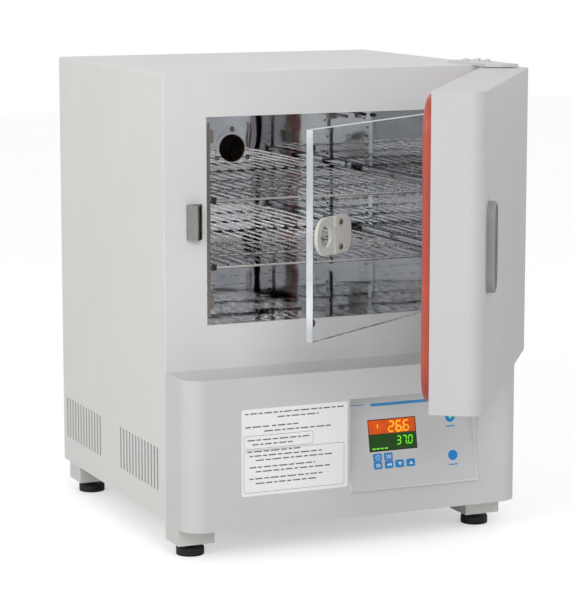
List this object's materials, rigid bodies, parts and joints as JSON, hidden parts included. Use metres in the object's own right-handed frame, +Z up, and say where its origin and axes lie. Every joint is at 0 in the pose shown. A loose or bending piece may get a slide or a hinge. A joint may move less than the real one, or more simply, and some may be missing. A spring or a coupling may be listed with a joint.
{
  "type": "laboratory incubator",
  "caption": "Bench incubator with an insulated outer door, clear inner door, polished chamber with wire shelves, rear access port and a raked control panel below.",
  "frame": {"origin": "centre of the cabinet's footprint, 500 by 430 mm, on the surface it stands on", "axes": "+X to the right as the user faces it, +Y towards the back, +Z up"},
  "size_m": [0.5146, 0.8877, 0.6524],
  "materials": {
    "side_paint": "smooth satin paint",
    "frame_paint": "textured paint",
    "housing_paint": "textured paint",
    "door_paint": "textured metallic paint",
    "hinge_paint": "satin paint",
    "zinc_steel": "zinc plated",
    "pin_steel": "bright stainless",
    "screw_steel": "bright plated",
    "brown_screws": "bronzed",
    "polished_steel": "mirror polished",
    "wire_steel": "electropolished wire",
    "heater_sheath": "heat tinted sheath",
    "mineral_wool": "pressed wool board",
    "foot_rubber": "matt black rubber",
    "dark_rubber": "matt rubber",
    "red_silicone": "soft silicone",
    "panel_silver": "painted silver",
    "display_glass": "dark window",
    "circuit_board": "solder mask",
    "key_blue": "satin blue",
    "plate_white": "printed film",
    "iron_core": "varnished laminations",
    "black_plastic": "moulded black",
    "white_plastic": "moulded white",
    "handle_grey": "satin silver moulding",
    "lever_grey": "dark grey moulding",
    "clear_pane": "clear"
  },
  "bodies": {
    "cabinet": {"cabinet_wrap": "side_paint", "front_frame": "frame_paint", "rear_panel": "side_paint", "base_pan": "zinc_steel", "foot_brackets": "zinc_steel", "control_housing": "housing_paint", "hinge_plates": "hinge_paint", "hinge_pins": "pin_steel", "hinge_screws": "screw_steel", "strike": "pin_steel", "chamber_liner": "polished_steel", "chamber_insulation": "mineral_wool", "floor_plate": "polished_steel", "heater_element": "heater_sheath", "temperature_probe": "pin_steel", "port_tube": "polished_steel", "port_stopper": "dark_rubber", "small_screws": "screw_steel", "shelf_uprights": "polished_steel", "shelf_rails": "polished_steel", "keeper_strip": "pin_steel", "inner_hinge_ears": "pin_steel", "control_panel": "panel_silver", "control_board": "circuit_board", "display_module": "display_glass", "notes_plate": "plate_white", "transformer": "iron_core", "power_board": "circuit_board", "power_inlet": "black_plastic", "fuse_drawer": "black_plastic"},
    "outer_door": {"door_shell": "door_paint", "door_inner_panel": "polished_steel", "door_insulation": "mineral_wool", "door_gasket": "red_silicone", "door_bushes": "white_plastic", "handle_bezel": "handle_grey", "lever_pin": "pin_steel", "lever_spring": "pin_steel"},
    "handle_lever": {"handle_lever": "lever_grey", "latch_pawl": "pin_steel"},
    "inner_door": {"inner_door_pane": "clear_pane", "inner_door_magnets": "pin_steel", "inner_hinge_blocks": "pin_steel", "pull_base": "white_plastic", "pull_screws": "brown_screws"},
    "pull_ring": {"pull_ring": "white_plastic"},
    "upper_shelf": {"upper_shelf": "wire_steel"},
    "lower_shelf": {"lower_shelf": "wire_steel"},
    "mode_key": {"mode_key": "key_blue"},
    "back_key": {"back_key": "key_blue"},
    "down_key": {"down_key": "key_blue"},
    "up_key": {"up_key": "key_blue"},
    "clock_key": {"clock_key": "key_blue"},
    "enter_key": {"enter_key": "key_blue"},
    "power_button": {"power_button": "key_blue"},
    "lamp_button": {"lamp_button": "key_blue"},
    "left_front_foot": {"left_front_foot": "foot_rubber"},
    "right_front_foot": {"right_front_foot": "foot_rubber"},
    "left_rear_foot": {"left_rear_foot": "foot_rubber"},
    "right_rear_foot": {"right_rear_foot": "foot_rubber"}
  },
  "joints": [
    {"name": "outer_door_swing", "type": "hinge", "parent": "cabinet", "child": "outer_door", "pos_m": [0.231, -0.254, 0.4475], "axis": [0, 0, 1], "range_deg": [-54.6, 65.4]},
    {"name": "inner_door_swing", "type": "hinge", "parent": "cabinet", "child": "inner_door", "pos_m": [0.182, -0.217, 0.446], "axis": [0, 0, 1], "range_deg": [-33.8, 40.5]},
    {"name": "handle_lever_pull", "type": "hinge", "parent": "outer_door", "child": "handle_lever", "pos_m": [0.01001, -0.6392, 0.453], "axis": [0, 0, -1], "range_deg": [-5, 20], "stiffness_Nm_per_rad": 0.3},
    {"name": "pull_ring_fold", "type": "hinge", "parent": "inner_door", "child": "pull_ring", "pos_m": [-0.08624, -0.39693, 0.445], "axis": [0, 0, 1], "range_deg": [0, 80]},
    {"name": "upper_shelf_slide", "type": "slide", "parent": "cabinet", "child": "upper_shelf", "axis": [0, -1, 0], "range_m": [0, 0.018]},
    {"name": "lower_shelf_slide", "type": "slide", "parent": "cabinet", "child": "lower_shelf", "axis": [0, -1, 0], "range_m": [0, 0.018]},
    {"name": "mode_key_press", "type": "slide", "parent": "cabinet", "child": "mode_key", "axis": [0, 0.9816, -0.1908], "range_m": [0, 0.0006], "stiffness_N_per_m": 200},
    {"name": "back_key_press", "type": "slide", "parent": "cabinet", "child": "back_key", "axis": [0, 0.9816, -0.1908], "range_m": [0, 0.0006], "stiffness_N_per_m": 200},
    {"name": "down_key_press", "type": "slide", "parent": "cabinet", "child": "down_key", "axis": [0, 0.9816, -0.1908], "range_m": [0, 0.0006], "stiffness_N_per_m": 200},
    {"name": "up_key_press", "type": "slide", "parent": "cabinet", "child": "up_key", "axis": [0, 0.9816, -0.1908], "range_m": [0, 0.0006], "stiffness_N_per_m": 200},
    {"name": "clock_key_press", "type": "slide", "parent": "cabinet", "child": "clock_key", "axis": [0, 0.9816, -0.1908], "range_m": [0, 0.0006], "stiffness_N_per_m": 200},
    {"name": "enter_key_press", "type": "slide", "parent": "cabinet", "child": "enter_key", "axis": [0, 0.9816, -0.1908], "range_m": [0, 0.0006], "stiffness_N_per_m": 200},
    {"name": "power_button_press", "type": "slide", "parent": "cabinet", "child": "power_button", "axis": [0, 0.9816, -0.1908], "range_m": [0, 0.0006], "stiffness_N_per_m": 200},
    {"name": "lamp_button_press", "type": "slide", "parent": "cabinet", "child": "lamp_button", "axis": [0, 0.9816, -0.1908], "range_m": [0, 0.0006], "stiffness_N_per_m": 200},
    {"name": "left_front_foot_turn", "type": "hinge", "parent": "cabinet", "child": "left_front_foot", "pos_m": [-0.224, -0.236, 0.006], "axis": [0, 0, 1], "continuous": true},
    {"name": "right_front_foot_turn", "type": "hinge", "parent": "cabinet", "child": "right_front_foot", "pos_m": [0.2085, -0.236, 0.006], "axis": [0, 0, 1], "continuous": true},
    {"name": "left_rear_foot_turn", "type": "hinge", "parent": "cabinet", "child": "left_rear_foot", "pos_m": [-0.224, 0.166, 0.006], "axis": [0, 0, 1], "continuous": true},
    {"name": "right_rear_foot_turn", "type": "hinge", "parent": "cabinet", "child": "right_rear_foot", "pos_m": [0.2085, 0.166, 0.006], "axis": [0, 0, 1], "continuous": true}
  ],
  "couplings": [
    {"joint": "inner_door_swing", "follows": "outer_door_swing", "ratio": 0.619}
  ]
}
